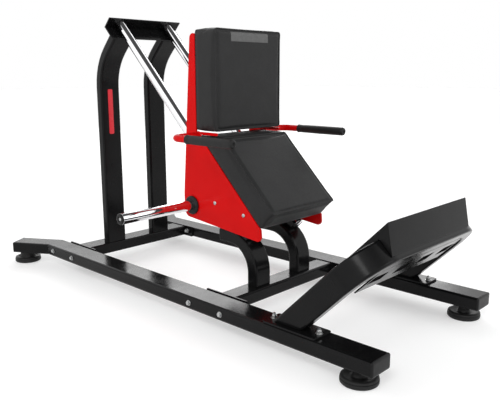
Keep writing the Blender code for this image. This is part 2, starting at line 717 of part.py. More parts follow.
def build_carriage_bars(parent):
    seat_back = SEAT_OFF - GAP
    for name, along in (("lower", -0.069), ("upper", -0.360)):
        centre = on_slope(along, seat_back - 0.0285)
        across_tube("seat_bar_" + name, centre, (DOWN_ROD, OFF_ROD), (0.040, 0.057), parent)
    upward = Vector((0, 0, 1))
    for name, z in (("lower", 0.900), ("upper", 1.190)):
        centre = Vector((BACK_X - GAP - 0.015, 0, z))
        across_tube("back_bar_" + name, centre, (Vector((1, 0, 0)), upward), (0.030, 0.060), parent, 0.005)
    reach = PLATE_Y - PLATE_THICK - GAP
    left = (HORN_X, reach, HORN_Z)
    right = (HORN_X, -reach, HORN_Z)
    finish("horn_tube", pipe(right, left, 0.030, 0.0265, 28), "red_paint", parent, (HORN_X, 0, HORN_Z))


def build_bearings(parent):
    """A long housing on each rod, fixed to its side plate, with a bush pressed into each end."""
    inner_face = PLATE_Y - PLATE_THICK - GAP
    for name, side in SIDES:
        low = on_slope(HOUSING_BOTTOM, ROD_OFF, side * ROD_Y)
        high = on_slope(HOUSING_TOP, ROD_OFF, side * ROD_Y)
        barrel = rod(high, low, HOUSING_RADIUS, 32, 0.002)
        housing = finish("bearing_housing_" + name, barrel, "red_paint", parent, low)
        for place_name, along in (("lower", HOUSING_BOTTOM - 0.050), ("upper", HOUSING_TOP + 0.065)):
            depth = inner_face - ROD_Y
            centre = on_slope(along, ROD_OFF, side * (ROD_Y + depth / 2))
            lug = slab(centre, (DOWN_ROD, OFF_ROD, ACROSS), (0.070, 0.056, depth))
            guide = finish("housing_lug_" + place_name + "_" + name, lug, "red_paint", parent, centre)
            boolean(housing, guide, "UNION")
        bore = rod(high - DOWN_ROD * 0.02, low + DOWN_ROD * 0.02, BUSH_RADIUS + GAP, 32)
        boolean(housing, finish("housing_bore_" + name, bore, "red_paint", parent, low), "DIFFERENCE")
        for place_name, start in (("lower", low - DOWN_ROD * BUSH_LENGTH), ("upper", high)):
            end = start + DOWN_ROD * BUSH_LENGTH
            bush = pipe(start, end, BUSH_RADIUS, ROD_RADIUS + RUNNING_CLEARANCE, 36)
            finish("linear_bush_" + place_name + "_" + name, bush, "bronze", parent, start)


def build_handles(parent):
    """Bent tubes from the side plates, with long rubber grips that point forward."""
    for name, side in SIDES:
        start = side * (PLATE_Y + GAP)
        bend_centre = (HANDLE_X + HANDLE_BEND, side * (HANDLE_Y - HANDLE_BEND))
        bend = arc(bend_centre, HANDLE_BEND, 180, 180 - side * 90, 6)
        path = joined([(HANDLE_X, start)], bend, [(GRIP_END_X - 0.006, side * HANDLE_Y)])
        circle = arc((0, 0), HANDLE_RADIUS, 0, 337.5, 15)
        handle = swept_bar(path, flat_place(HANDLE_Z), circle)
        finish("handle_" + name, handle, "red_paint", parent, (HANDLE_X, start, HANDLE_Z))
        hollow = GRIP_END_X - 0.0055
        profile = ((GRIP_START_X, HANDLE_RADIUS + GAP), (GRIP_START_X, GRIP_RADIUS - 0.002),
                   (GRIP_START_X + 0.003, GRIP_RADIUS), (GRIP_END_X - 0.004, GRIP_RADIUS),
                   (GRIP_END_X, GRIP_RADIUS - 0.004), (GRIP_END_X, 0))
        grip = turned(profile, (0, side * HANDLE_Y, HANDLE_Z), (1, 0, 0), 24)
        close_grip(grip, side, hollow)
        finish("grip_" + name, grip, "rubber", parent, (GRIP_START_X, side * HANDLE_Y, HANDLE_Z))


def close_grip(bm, side, hollow):
    """Adds the grip's inner wall, so that it is a sleeve with one closed end."""
    edges = [edge for edge in bm.edges if edge.is_boundary]
    extruded = bmesh.ops.extrude_edge_only(bm, edges=edges)
    rim = [item for item in extruded["geom"] if isinstance(item, bmesh.types.BMVert)]
    bmesh.ops.translate(bm, verts=rim, vec=(hollow - GRIP_START_X, 0, 0))
    bmesh.ops.contextual_create(bm, geom=rim)


def build_horns(parent):
    """Chrome sleeves for weight plates on both sides, with a rubber collar and an end cap."""
    for name, side in SIDES:
        face = side * (PLATE_Y + GAP)
        collar_end = face + side * COLLAR_THICK
        sleeve_start = collar_end + side * GAP
        cap_start = side * (SLEEVE_END_Y - 0.008)
        pivot = (HORN_X, face, HORN_Z)
        collar = rod((HORN_X, face, HORN_Z), (HORN_X, collar_end, HORN_Z), COLLAR_RADIUS, 32, 0.002)
        finish("sleeve_collar_" + name, collar, "rubber", parent, pivot)
        sleeve_end = cap_start - side * GAP
        sleeve = pipe((HORN_X, sleeve_start, HORN_Z), (HORN_X, sleeve_end, HORN_Z), SLEEVE_RADIUS, 0.021, 32)
        finish("weight_sleeve_" + name, sleeve, "chrome", parent, pivot)
        profile = ((-0.020, 0), (-0.020, 0.0205), (0, 0.0205), (0, SLEEVE_RADIUS), (0.005, SLEEVE_RADIUS),
                   (0.008, SLEEVE_RADIUS - 0.003), (0.008, 0))
        cap = turned(profile, (HORN_X, cap_start, HORN_Z), (0, side, 0), 28)
        finish("sleeve_cap_" + name, cap, "plastic", parent, pivot)


def build_pads(parent):
    """Plywood boards with upholstered pads in front of them."""
    axes = (ACROSS, Vector((0, 0, 1)), Vector((1, 0, 0)))
    tall = BACK_TOP_Z - BACK_BOTTOM_Z
    middle = (BACK_TOP_Z + BACK_BOTTOM_Z) / 2
    board_centre = Vector((BACK_X + BOARD / 2, 0, middle))
    board = slab(board_centre, axes, (2 * PAD_HALF - 0.016, tall - 0.016, BOARD), 0.020)
    finish("back_board", board, "plywood", parent, board_centre)
    pad_start = BACK_X + BOARD + GAP
    pad_centre = Vector(((pad_start + BACK_FRONT_X) / 2, 0, middle))
    pad = slab(pad_centre, axes, (2 * PAD_HALF, tall, BACK_FRONT_X - pad_start), 0.014)
    finish("back_pad", pad, "vinyl", parent, pad_centre)

    def seat_outline(low, high, end, ceiling):
        far_low = ceiling * math.sqrt(2)
        return [(end, low), (end, high), (high - far_low, high), (low - far_low, low)]

    def place(u, v, w):
        return on_slope(u, v, w)

    shelf = SEAT_OFF + BOARD
    board_shape = seat_outline(SEAT_OFF, shelf, SEAT_END - 0.008, SEAT_TOP_Z - 0.006)
    board = prism(board_shape, place, -PAD_HALF + 0.008, PAD_HALF - 0.008)
    finish("seat_board", board, "plywood", parent, on_slope(SEAT_END, SEAT_OFF))
    pad_shape = seat_outline(shelf + GAP, SEAT_FRONT_OFF, SEAT_END, SEAT_TOP_Z)
    pad = prism(pad_shape, place, -PAD_HALF, PAD_HALF)
    finish("seat_pad", pad, "vinyl", parent, on_slope(SEAT_END, shelf))


def build():
    clear_scene()
    base = body_empty("frame_origin", (0, 0, 0))
    build_rails(base)
    build_feet(base)
    build_cross_tubes(base)
    build_uprights(base)
    build_top_bracket(base)
    build_rods(base)
    build_legs(base)
    build_rod_saddles(base)
    build_hoop(base)
    build_foot_plate(base)
    build_front_panel(base)
    carriage = body_empty("carriage_origin", on_slope(HOUSING_BOTTOM, ROD_OFF))
    build_side_plates(carriage)
    build_carriage_bars(carriage)
    build_bearings(carriage)
    build_handles(carriage)
    build_horns(carriage)
    build_pads(carriage)


build()
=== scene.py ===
"""Looks of the hack squat machine: finishes, upholstery, turned parts, fasteners, camera and light.

Metres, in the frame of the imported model. "Along" runs down the guide rods and "off" stands square
to them, both in the XZ plane. Places come from the CAD nodes.
"""

import json
import math

import bmesh
import bpy
from mathutils import Matrix, Vector
from mathutils.bvhtree import BVHTree


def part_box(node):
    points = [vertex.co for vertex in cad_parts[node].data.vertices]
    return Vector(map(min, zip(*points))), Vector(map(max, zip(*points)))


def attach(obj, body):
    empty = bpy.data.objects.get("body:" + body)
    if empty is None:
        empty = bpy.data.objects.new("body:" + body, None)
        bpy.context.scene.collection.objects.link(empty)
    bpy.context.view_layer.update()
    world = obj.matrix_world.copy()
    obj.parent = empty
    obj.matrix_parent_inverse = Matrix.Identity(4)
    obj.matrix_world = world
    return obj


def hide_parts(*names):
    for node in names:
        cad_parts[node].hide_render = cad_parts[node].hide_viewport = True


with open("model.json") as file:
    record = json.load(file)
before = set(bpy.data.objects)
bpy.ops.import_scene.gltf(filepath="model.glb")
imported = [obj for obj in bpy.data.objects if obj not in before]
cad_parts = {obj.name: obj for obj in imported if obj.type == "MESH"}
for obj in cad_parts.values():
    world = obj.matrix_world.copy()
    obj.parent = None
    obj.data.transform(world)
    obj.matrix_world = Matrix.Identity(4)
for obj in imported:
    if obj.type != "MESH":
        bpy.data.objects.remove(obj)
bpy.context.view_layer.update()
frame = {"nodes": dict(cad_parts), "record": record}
NODES = frame["nodes"]
SLOT_OF = {row["node"]: row["material_slot"] for row in frame["record"]["subparts"]}
BODY_OF = {node: body for body, group in frame["record"]["behaviour"]["bodies"].items() for node in group}

X, Y, Z = Vector((1, 0, 0)), Vector((0, 1, 0)), Vector((0, 0, 1))
DOWN_ROD = Vector((1, 0, -1)).normalized()
OFF_ROD = Vector((1, 0, 1)).normalized()
SIDES = (("left", 1), ("right", -1))

ROUNDED_TUBES = ("rail_", "upright_", "leg_", "footplate_hoop", "front_cross", "rear_cross")

# Turned parts
FINE = 64                          # facets round a large turned part
HANDLE_RADIUS = 0.016
HANDLE_BEND = 0.055
GRIP_RADIUS = 0.0205
BORE_PLAY = 0.0001                 # between a guide rod and its bushes
STOP_BORE = 0.0252                 # bore radius of a rubber stop
RAIL_SPLAY = math.radians(32)      # the rear end of each rail turns out by this
CAP_THICK = 0.008                  # visible part of a rail's cap
CAP_CORNER = 0.009
SCREW_HEAD = 0.010                 # height of the head of a guide rod's screw
FRONT_NECK, REAR_NECK = 0.024, 0.040
FLANGE_THICK = 0.008               # plates at the ends of the cross tubes
BUSH_RADIUS = 0.032
COLLAR_RADIUS = 0.045
SLEEVE_RADIUS = 0.025

# Upholstery
VOXEL = 0.006
SWELL = 0.0025                     # a pad starts this much smaller all round
SWELL_LIMIT = 0.0030
SOFT_EDGE = 0.008
CORNER = 0.014                     # round corners of the seat pad
SEAM_INSET = 0.011                 # the seam runs this far inside the welt
WELT_RADIUS = 0.0027
WRAP_EASE = 0.0002                 # the cover ends this far in front of its board's rear face
REAR_SPARE = 0.009                 # foam behind that plane, which the cover's flat back cuts off

# Fasteners
BOLT_PITCH = 0.0985                # half the distance between the two bolts of a joint
BOLT_BACK = 0.016                  # the pair sits this far behind the middle of its flange
PLATE_BOLT_PITCH = 0.1105          # the same half distance on a base plate
SIDE_BOLT_Z = 0.092
BADGE_LOW, BADGE_HIGH = 0.745, 0.992
BADGE_WIDE = 0.030
PATCH_LOW, PATCH_HIGH = 1.218, 1.260
PATCH_HALF = 0.124


# ---------------------------------------------------------------- material helpers

def new_material(name, colour, roughness, metallic=0.0, **sockets):
    made = bpy.data.materials.new(name)
    made.use_nodes = True
    shader = made.node_tree.nodes["Principled BSDF"]
    shader.inputs["Base Color"].default_value = (*colour, 1)
    shader.inputs["Roughness"].default_value = roughness
    shader.inputs["Metallic"].default_value = metallic
    for socket, value in sockets.items():
        shader.inputs[socket.replace("_", " ")].default_value = value
    return made


def add_node(tree, kind, **values):
    node = tree.nodes.new(kind)
    for key, value in values.items():
        label = key.replace("_", " ")
        if label in node.inputs:
            node.inputs[label].default_value = value
        else:
            setattr(node, key, value)
    return node


def noise(tree, scale, detail=3.0, stretch=(1, 1, 1)):
    """A noise pattern in object space, whose cells are about 1/scale metres across."""
    place = add_node(tree, "ShaderNodeTexCoord")
    mapping = add_node(tree, "ShaderNodeMapping")
    mapping.inputs["Scale"].default_value = stretch
    pattern = add_node(tree, "ShaderNodeTexNoise", Scale=scale, Detail=detail)
    tree.links.new(place.outputs["Object"], mapping.inputs["Vector"])
    tree.links.new(mapping.outputs["Vector"], pattern.inputs["Vector"])
    return pattern.outputs["Fac"]


def cells(tree, scale):
    """The distance to the border between neighbouring cells, 0 on the border."""
    place = add_node(tree, "ShaderNodeTexCoord")
    pattern = add_node(tree, "ShaderNodeTexVoronoi", feature="DISTANCE_TO_EDGE", Scale=scale)
    tree.links.new(place.outputs["Object"], pattern.inputs["Vector"])
    return pattern.outputs["Distance"]


def ramp(tree, factor, low, high, start=0.3, end=0.7):
    """Maps a pattern between start and end to the range from low to high."""
    mapped = add_node(tree, "ShaderNodeMapRange", From_Min=start, From_Max=end, To_Min=low, To_Max=high)
    tree.links.new(factor, mapped.inputs["Value"])
    return mapped.outputs["Result"]


def mottled(made, dark, light, factor):
    tree = made.node_tree
    mix = add_node(tree, "ShaderNodeMix", data_type="RGBA")
    colour_in = [socket for socket in mix.inputs if socket.type == "RGBA"]
    colour_in[0].default_value = (*dark, 1)
    colour_in[1].default_value = (*light, 1)
    colour_out = [socket for socket in mix.outputs if socket.type == "RGBA"][0]
    tree.links.new(factor, mix.inputs["Factor"])
    tree.links.new(colour_out, tree.nodes["Principled BSDF"].inputs["Base Color"])


def uneven_gloss(made, low, high, scale):
    tree = made.node_tree
    rough = ramp(tree, noise(tree, scale), low, high)
    tree.links.new(rough, tree.nodes["Principled BSDF"].inputs["Roughness"])


def bump(made, *layers):
    """Adds bump layers to a material, each a (height output, depth in metres)."""
    tree = made.node_tree
    below = None
    for height, depth in layers:
        layer = add_node(tree, "ShaderNodeBump", Strength=1.0, Distance=depth)
        tree.links.new(height, layer.inputs["Height"])
        if below is not None:
            tree.links.new(below, layer.inputs["Normal"])
        below = layer.outputs["Normal"]
    tree.links.new(below, tree.nodes["Principled BSDF"].inputs["Normal"])


# ---------------------------------------------------------------- materials

def powder_coat(name, dark, light, gloss, **sockets):
    """Sprayed and baked paint: a faint orange peel, cloudy gloss and a slight drift in colour."""
    made = new_material(name, light, gloss, **sockets)
    tree = made.node_tree
    mottled(made, dark, light, ramp(tree, noise(tree, 9.0), 0, 1))
    uneven_gloss(made, gloss * 0.8, gloss * 1.25, 14.0)
    bump(made, (noise(tree, 420.0, 2.0), 0.00006), (noise(tree, 60.0, 1.0), 0.00010))
    return made


def chrome_plate():
    made = new_material("chrome", (0.80, 0.80, 0.82), 0.07, 1.0)
    tree = made.node_tree
    mottled(made, (0.76, 0.76, 0.78), (0.83, 0.83, 0.84), ramp(tree, noise(tree, 30.0), 0, 1))
    uneven_gloss(made, 0.045, 0.10, 45.0)
    bump(made, (noise(tree, 900.0, 2.0), 0.000012))
    return made


def zinc_plate():
    made = new_material("zinc", (0.46, 0.46, 0.47), 0.28, 1.0)
    tree = made.node_tree
    mottled(made, (0.34, 0.35, 0.37), (0.52, 0.52, 0.50), ramp(tree, noise(tree, 160.0), 0, 1))
    uneven_gloss(made, 0.20, 0.38, 300.0)
    bump(made, (noise(tree, 1500.0, 2.0), 0.00003))
    return made


def bearing_bronze():
    made = new_material("bronze", (0.45, 0.30, 0.14), 0.36, 1.0)
    tree = made.node_tree
    mottled(made, (0.38, 0.24, 0.11), (0.50, 0.34, 0.17), ramp(tree, noise(tree, 120.0), 0, 1))
    uneven_gloss(made, 0.28, 0.46, 220.0)
    bump(made, (noise(tree, 1200.0, 2.0), 0.00002))
    return made


def moulded(name, dark, light, gloss, grain, depth, **sockets):
    """Rubber or plastic from a textured mould."""
    made = new_material(name, light, gloss, **sockets)
    tree = made.node_tree
    mottled(made, dark, light, ramp(tree, noise(tree, 40.0), 0, 1))
    uneven_gloss(made, gloss * 0.88, min(1.0, gloss * 1.12), 70.0)
    bump(made, (noise(tree, grain, 3.0), depth))
    return made


def upholstery_vinyl():
    """Leather-grained vinyl: small rounded cells between creases, over a soft unevenness."""
    made = new_material("vinyl", (0.012, 0.012, 0.012), 0.48, Specular_IOR_Level=0.20,
                        Sheen_Weight=0.02, Sheen_Roughness=0.45)
    tree = made.node_tree
    mottled(made, (0.0105, 0.0105, 0.0108), (0.0130, 0.0130, 0.0134), ramp(tree, noise(tree, 14.0), 0, 1))
    uneven_gloss(made, 0.48, 0.56, 90.0)
    creases = ramp(tree, cells(tree, 900.0), 0, 1, 0.0, 0.25)
    bump(made, (noise(tree, 18.0, 1.0), 0.00012), (creases, 0.00004), (noise(tree, 1900.0, 2.0), 0.00002))
    return made


def make_finishes():
    return {
        "black_paint": powder_coat("black_powder_coat", (0.0032, 0.0032, 0.0034), (0.0048, 0.0048, 0.0050),
                                   0.17, Specular_IOR_Level=0.12),
        "red_paint": powder_coat("red_powder_coat", (0.47, 0.0025, 0.0028), (0.52, 0.0032, 0.0035),
                                 0.20, Specular_IOR_Level=0.05),
        "chrome": chrome_plate(),
        "zinc": zinc_plate(),
        "bronze": bearing_bronze(),
        "rubber": moulded("rubber", (0.006, 0.006, 0.006), (0.010, 0.010, 0.010), 0.50, 520.0, 0.00008,
                          Specular_IOR_Level=0.22),
        "plastic": moulded("plastic", (0.0040, 0.0040, 0.0042), (0.0060, 0.0060, 0.0062),
                           0.36, 800.0, 0.00004, Specular_IOR_Level=0.16),
        "vinyl": upholstery_vinyl(),
    }


FINISH = make_finishes()


# ---------------------------------------------------------------- geometry helpers

def reach(node, direction, keep=None):
    """How far a CAD node's material goes in a direction, from the origin."""
    points = [vertex.co for vertex in NODES[node].data.vertices if keep is None or keep(vertex.co)]
    return max(point.dot(direction) for point in points)


def middle(node, *directions):
    """The centre of a node's extent in each direction, as a vector."""
    total = Vector()
    for direction in directions:
        total += direction * (reach(node, direction) - reach(node, -direction)) / 2
    return total


def end_point(node, direction, *across):
    """The centre of a node's end face in a direction, square to the directions in across."""
    return middle(node, *across) + direction * reach(node, direction)


def eased(points, radius, steps=4, closed=False):
    """The same polyline with each corner rounded by a short curve."""
    points = [Vector(point) for point in points]
    count = len(points)
    made = []
    for index, corner in enumerate(points):
        if not closed and index in (0, count - 1):
            made.append(corner)
            continue
        before = points[index - 1] - corner
        after = points[(index + 1) % count] - corner
        cut = min(radius, before.length * 0.45, after.length * 0.45)
        start = corner + before.normalized() * cut
        end = corner + after.normalized() * cut
        for step in range(steps + 1):
            t = step / steps
            made.append(start * (1 - t) ** 2 + corner * (2 * t * (1 - t)) + end * t ** 2)
    return made


def rounded_rectangle(wide, tall, radius, steps=6):
    made = []
    for quarter, (u, v) in enumerate(((1, 1), (-1, 1), (-1, -1), (1, -1))):
        centre = Vector((u * (wide / 2 - radius), v * (tall / 2 - radius)))
        for step in range(steps + 1):
            angle = math.radians(90 * (quarter + step / steps))
            made.append(centre + Vector((math.cos(angle), math.sin(angle))) * radius)
    return made


def lathe(profile, origin, axis, steps=FINE):
    """A turned closed solid. The profile holds (height, radius) points; radius 0 is on the axis."""
    direction = Vector(axis).normalized()
    side = direction.orthogonal().normalized()
    up = direction.cross(side)
    bm = bmesh.new()
    rings = []
    for height, radius in profile:
        centre = Vector(origin) + direction * height
        if radius < 1e-7:
            rings.append([bm.verts.new(centre)])
            continue
        turns = [math.tau * step / steps for step in range(steps)]
        rings.append([bm.verts.new(centre + (side * math.cos(a) + up * math.sin(a)) * radius) for a in turns])
    pairs = list(zip(rings, rings[1:]))
    if len(rings[0]) > 1 and len(rings[-1]) > 1:
        pairs.append((rings[-1], rings[0]))
    for low, high in pairs:
        for step in range(steps):
            after = (step + 1) % steps
            corners = [low[step % len(low)], low[after % len(low)],
                       high[after % len(high)], high[step % len(high)]]
            corners = list(dict.fromkeys(corners))
            if len(corners) > 2:
                bm.faces.new(corners)
    return bm


def loft(loops):
    """A closed solid through loops of equal length, with flat ends."""
    bm = bmesh.new()
    rows = [[bm.verts.new(point) for point in loop] for loop in loops]
    for low, high in zip(rows, rows[1:]):
        for index in range(len(low)):
            after = (index + 1) % len(low)
            bm.faces.new((low[index], low[after], high[after], high[index]))
    bm.faces.new(rows[0])
    bm.faces.new(rows[-1])
    return bm


def soft_plate(outline, place, axes, thick, edge, steps=4):
    """A plate of the given outline whose front edge is rounded. Outline is (wide, tall, radius)."""
    wide, tall, radius = outline
    along, up, outward = axes
    heights = [(0, 0)]
    for step in range(steps + 1):
        angle = math.radians(90 * step / steps)
        heights.append((thick - edge + edge * math.sin(angle), edge * (1 - math.cos(angle))))
    loops = []
    for height, inset in heights:
        corner = max(radius - inset, 0.0006)
        flat = rounded_rectangle(wide - 2 * inset, tall - 2 * inset, corner)
        loops.append([Vector(place) + along * point.x + up * point.y + outward * height for point in flat])
    return loft(loops)


def tube_along(points, radius, closed=False, resolution=6):
    """A round bar along a polyline, as a bmesh."""
    curve = bpy.data.curves.new("path", "CURVE")
    curve.dimensions = "3D"
    spline = curve.splines.new("POLY")
    spline.points.add(len(points) - 1)
    for spot, point in zip(spline.points, points):
        spot.co = (*point, 1)
    spline.use_cyclic_u = closed
    curve.bevel_depth = radius
    curve.bevel_resolution = resolution
    curve.use_fill_caps = not closed
    holder = bpy.data.objects.new("path", curve)
    bpy.context.collection.objects.link(holder)
    graph = bpy.context.evaluated_depsgraph_get()
    mesh = bpy.data.meshes.new_from_object(holder.evaluated_get(graph))
    bm = bmesh.new()
    bm.from_mesh(mesh)
    bmesh.ops.remove_doubles(bm, verts=bm.verts, dist=1e-6)
    bpy.data.objects.remove(holder)
    bpy.data.meshes.remove(mesh)
    bpy.data.curves.remove(curve)
    return bm


def as_piece(name, bm, slot, body, stands_for=(), sharp=32):
    """Turns a bmesh into a smooth-shaded piece that rides on a body."""
    bmesh.ops.recalc_face_normals(bm, faces=bm.faces)
    mesh = bpy.data.meshes.new(name)
    bm.to_mesh(mesh)
    bm.free()
    mesh.materials.append(FINISH[slot])
    mesh.shade_smooth()
    mesh.set_sharp_from_angle(angle=math.radians(sharp))
    made = bpy.data.objects.new(name, mesh)
    bpy.context.collection.objects.link(made)
    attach(made, body)
    if stands_for:
        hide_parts(*stands_for)
    return made


def stand_in(node, bm):
    """A finer piece in place of one CAD node."""
    return as_piece(node + "_fine", bm, SLOT_OF[node], BODY_OF[node], (node,))


# ---------------------------------------------------------------- CAD nodes that stay

def break_edges(node, width, limit=50, steps=3):
    """Gives a CAD node its finish, and small rounded edges by modifiers, over its own mesh."""
    thing = NODES[node]
    mesh = thing.data
    mesh.materials.clear()
    mesh.materials.append(FINISH[SLOT_OF[node]])
    normals = mesh.attributes.get("custom_normal")
    if normals:
        mesh.attributes.remove(normals)
    mesh.shade_smooth()
    weld = thing.modifiers.new("weld", "WELD")
    weld.merge_threshold = 0.00001
    flat = thing.modifiers.new("flat_faces", "DECIMATE")
    flat.decimate_type = "DISSOLVE"
    flat.angle_limit = math.radians(0.4)
    bevel = thing.modifiers.new("edges", "BEVEL")
    bevel.width = width
    bevel.segments = steps
    bevel.limit_method = "ANGLE"
    bevel.angle_limit = math.radians(limit)
    bevel.harden_normals = True
    weighted = thing.modifiers.new("normals", "WEIGHTED_NORMAL")
    weighted.keep_sharp = True
    weighted.weight = 80


# ---------------------------------------------------------------- frame: turned and moulded parts

def guide_rod(side_name):
    node = "guide_rod_" + side_name
    top = end_point(node, -DOWN_ROD, Y, OFF_ROD)
    length = reach(node, DOWN_ROD) + reach(node, -DOWN_ROD)
    radius = (reach(node, Y) + reach(node, -Y)) / 2
    profile = eased([(0, 0), (0, radius), (length, radius), (length, 0)], 0.0012)
    stand_in(node, lathe(profile, top, DOWN_ROD))


def rod_screw(side_name):
    """A hexagon socket screw with a washer under its head."""
    node = "rod_screw_" + side_name
    seat = end_point(node, -DOWN_ROD, Y, OFF_ROD) + DOWN_ROD * SCREW_HEAD
    head = [(-0.0030, 0), (-0.0030, 0.0065), (-0.0100, 0.0072), (-0.0100, 0.0110),
            (-0.0015, 0.0110), (-0.0015, 0.0118), (0, 0.0118), (0, 0)]
    stand_in(node, lathe(eased(head, 0.0007, 2), seat, DOWN_ROD, 36))


def rubber_stop(side_name):
    node = "rubber_stop_" + side_name
    top = end_point(node, -DOWN_ROD, Y, OFF_ROD)
    length = reach(node, DOWN_ROD) + reach(node, -DOWN_ROD)
    outer = (reach(node, Y) - reach(node, -Y)) / 2
    radius = (reach(node, Y) + reach(node, -Y)) / 2
    ring = [(0, STOP_BORE), (0, radius - 0.003), (length * 0.30, radius),
            (length * 0.42, radius - 0.0035), (length * 0.58, radius - 0.0035),
            (length * 0.70, radius), (length, radius - 0.003), (length, STOP_BORE)]
    top.y = outer
    stand_in(node, lathe(eased(ring, 0.003), top, DOWN_ROD))


def rail_cap(node, outward, sideways):
    """A moulded plug whose face has a rolled edge and a shallow crown."""
    face = end_point(node, outward, sideways, Z)
    wide = reach(node, sideways) + reach(node, -sideways)
    tall = reach(node, Z) + reach(node, -Z)
    loops = []
    for inset, depth in ((0.0040, -0.027), (0.0040, -CAP_THICK), (0.0, -CAP_THICK), (0.0, -0.0070),
                         (0.0005, -0.0047), (0.0019, -0.0026), (0.0040, -0.0011), (0.0066, -0.0003),
                         (0.0120, 0.0)):
        corner = max(CAP_CORNER - inset, 0.0025)
        flat = rounded_rectangle(wide - 2 * inset, tall - 2 * inset, corner)
        loops.append([face + outward * depth + sideways * p.x + Z * p.y for p in flat])
    stand_in(node, loft(loops))


def levelling_foot(node, neck):
    """A rubber foot: a dished disc with a rolled rim, round a neck that meets the rail."""
    low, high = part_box(node)
    radius = (high.x - low.x) / 2
    tall = high.z
    spot = Vector(((low.x + high.x) / 2, (low.y + high.y) / 2, 0))
    profile = [(0, 0), (0, radius - 0.006), (0.004, radius - 0.001), (0.008, radius), (0.018, radius),
               (0.0185, radius - 0.0035), (0.0205, radius - 0.0040), (0.0210, radius - 0.0010),
               (0.027, radius - 0.002), (0.031, radius - 0.010), (0.029, radius - 0.019),
               (0.024, neck + 0.012), (0.026, neck + 0.003), (0.036, neck), (tall, neck), (tall, 0)]
    stand_in(node, lathe(eased(profile, 0.003, 3), spot, Z))


def foot_stud(node):
    """The steel nut between a front foot and its rail."""
    low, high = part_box(node)
    spot = Vector(((low.x + high.x) / 2, (low.y + high.y) / 2, high.z - 0.0125))
    nut = hexagon(spot, Z, 0.030, 0.012)
    as_piece(node.replace("foot", "foot_nut"), nut, "zinc", BODY_OF[node], sharp=25)


# ---------------------------------------------------------------- fasteners

def hexagon(base, axis, across_flats, tall):
    """A hexagonal head or nut whose corners are chamfered, standing on base along axis."""
    axis = Vector(axis).normalized()
    side = axis.orthogonal().normalized()
    up = axis.cross(side)
    corner = across_flats / math.sqrt(3)
    steps = 48
    loops = []
    for height, cone in ((0.0, 0.96), (0.06, 1.0), (0.80, 1.0), (0.93, 0.93), (1.0, 0.84)):
        loop = []
        for step in range(steps):
            angle = math.tau * step / steps
            from_flat = (angle + math.pi / 6) % (math.pi / 3) - math.pi / 6
            flat_reach = across_flats / 2 / math.cos(from_flat)
            radius = min(flat_reach, corner * cone)
            spoke = side * math.cos(angle) + up * math.sin(angle)
            loop.append(base + axis * (tall * height) + spoke * radius)
        loops.append(loop)
    return loft(loops)


def washer(base, axis, radius, hole, thick):
    ring = [(0, hole), (0, radius), (thick, radius), (thick, hole)]
    return lathe(eased(ring, 0.0004, 2, closed=True), base, axis, 40)


def merged(*parts):
    """Several bmeshes as one; each stays a closed body of its own."""
    whole = bmesh.new()
    for part in parts:
        scratch = bpy.data.meshes.new("part")
        bmesh.ops.recalc_face_normals(part, faces=part.faces)
        part.to_mesh(scratch)
        part.free()
        whole.from_mesh(scratch)
        bpy.data.meshes.remove(scratch)
    return whole


def hex_bolt(name, base, axis, body):
    """A flange bolt: washer, hexagon head and a pressed dimple on top."""
    axis = Vector(axis).normalized()
    thick, tall = 0.0018, 0.0075
    ring = washer(base, axis, 0.0125, 0.004, thick)
    head = hexagon(base + axis * thick, axis, 0.0170, tall)
    boss = lathe([(0, 0), (0, 0.0052), (0.0006, 0.0046), (0.0006, 0)],
                 base + axis * (thick + tall), axis, 24)
    as_piece(name, merged(ring, head, boss), "zinc", body, sharp=28)


def stud_and_nut(name, base, axis, body):
    """A bolt end: washer, lock nut with its collar, and the threaded end above it."""
    axis = Vector(axis).normalized()
    ring = washer(base, axis, 0.0145, 0.006, 0.0024)
    nut = hexagon(base + axis * 0.0024, axis, 0.0190, 0.0100)
    collar = [(0, 0), (0, 0.0086), (0.0035, 0.0078), (0.0045, 0.0062), (0.0045, 0)]
    neck = lathe(eased(collar, 0.0008, 2), base + axis * 0.0120, axis, 32)
    thread = [(0, 0)]
    for turn in range(6):
        thread += [(0.0012 * turn + 0.0002, 0.0050), (0.0012 * turn + 0.0008, 0.0058)]
    thread += [(0.0078, 0.0046), (0.0078, 0)]
    screw = lathe(thread, base + axis * 0.0150, axis, 24)
    as_piece(name, merged(ring, nut, neck, screw), "zinc", body, sharp=28)


def button_screw(name, base, axis, body, radius):
    """A low domed screw head with a hexagon socket's mouth."""
    head = [(-0.0005, 0), (-0.0005, radius), (0.0010, radius)]
    for step in range(1, 6):
        angle = math.radians(15 * step)
        head.append((0.0010 + 0.0042 * math.sin(angle), radius * math.cos(angle) * 0.98))
    head += [(0.0052, radius * 0.38), (0.0030, radius * 0.34), (0.0030, 0)]
    as_piece(name, lathe(head, base, axis, 40), "zinc", body, sharp=40)


def joint_bolts():
    """Bolts through the rails into the cross tubes, and through the base plates."""
    for side_name, side in SIDES:
        rail_face = reach("rail_" + side_name, Y * side, lambda point: point.x > 0)
        for tube, off_z in (("rear", 0.001), ("front", -0.002)):
            node = tube + "_cross_tube"
            flange_x = middle(node, X).x
            inside = reach(node, Y) - FLANGE_THICK
            for number, shift in enumerate((-BOLT_PITCH, BOLT_PITCH)):
                height = SIDE_BOLT_Z + off_z
                outer = Vector((flange_x - BOLT_BACK + shift, side * rail_face, height))
                label = tube + "_" + side_name + "_" + str(number + 1)
                hex_bolt("rail_bolt_" + label, outer, Y * side, "frame")
                inner = Vector((outer.x, side * inside, height))
                stud_and_nut("rail_nut_" + label, inner, Y * -side, "frame")
        plate = "hoop_base_plate_" + side_name
        centre = middle(plate, X, Y)
        for number, shift in enumerate((-PLATE_BOLT_PITCH, PLATE_BOLT_PITCH)):
            spot = Vector((centre.x + shift, centre.y, reach(plate, Z)))
            stud_and_nut("plate_bolt_" + side_name + "_" + str(number + 1), spot, Z, "frame")


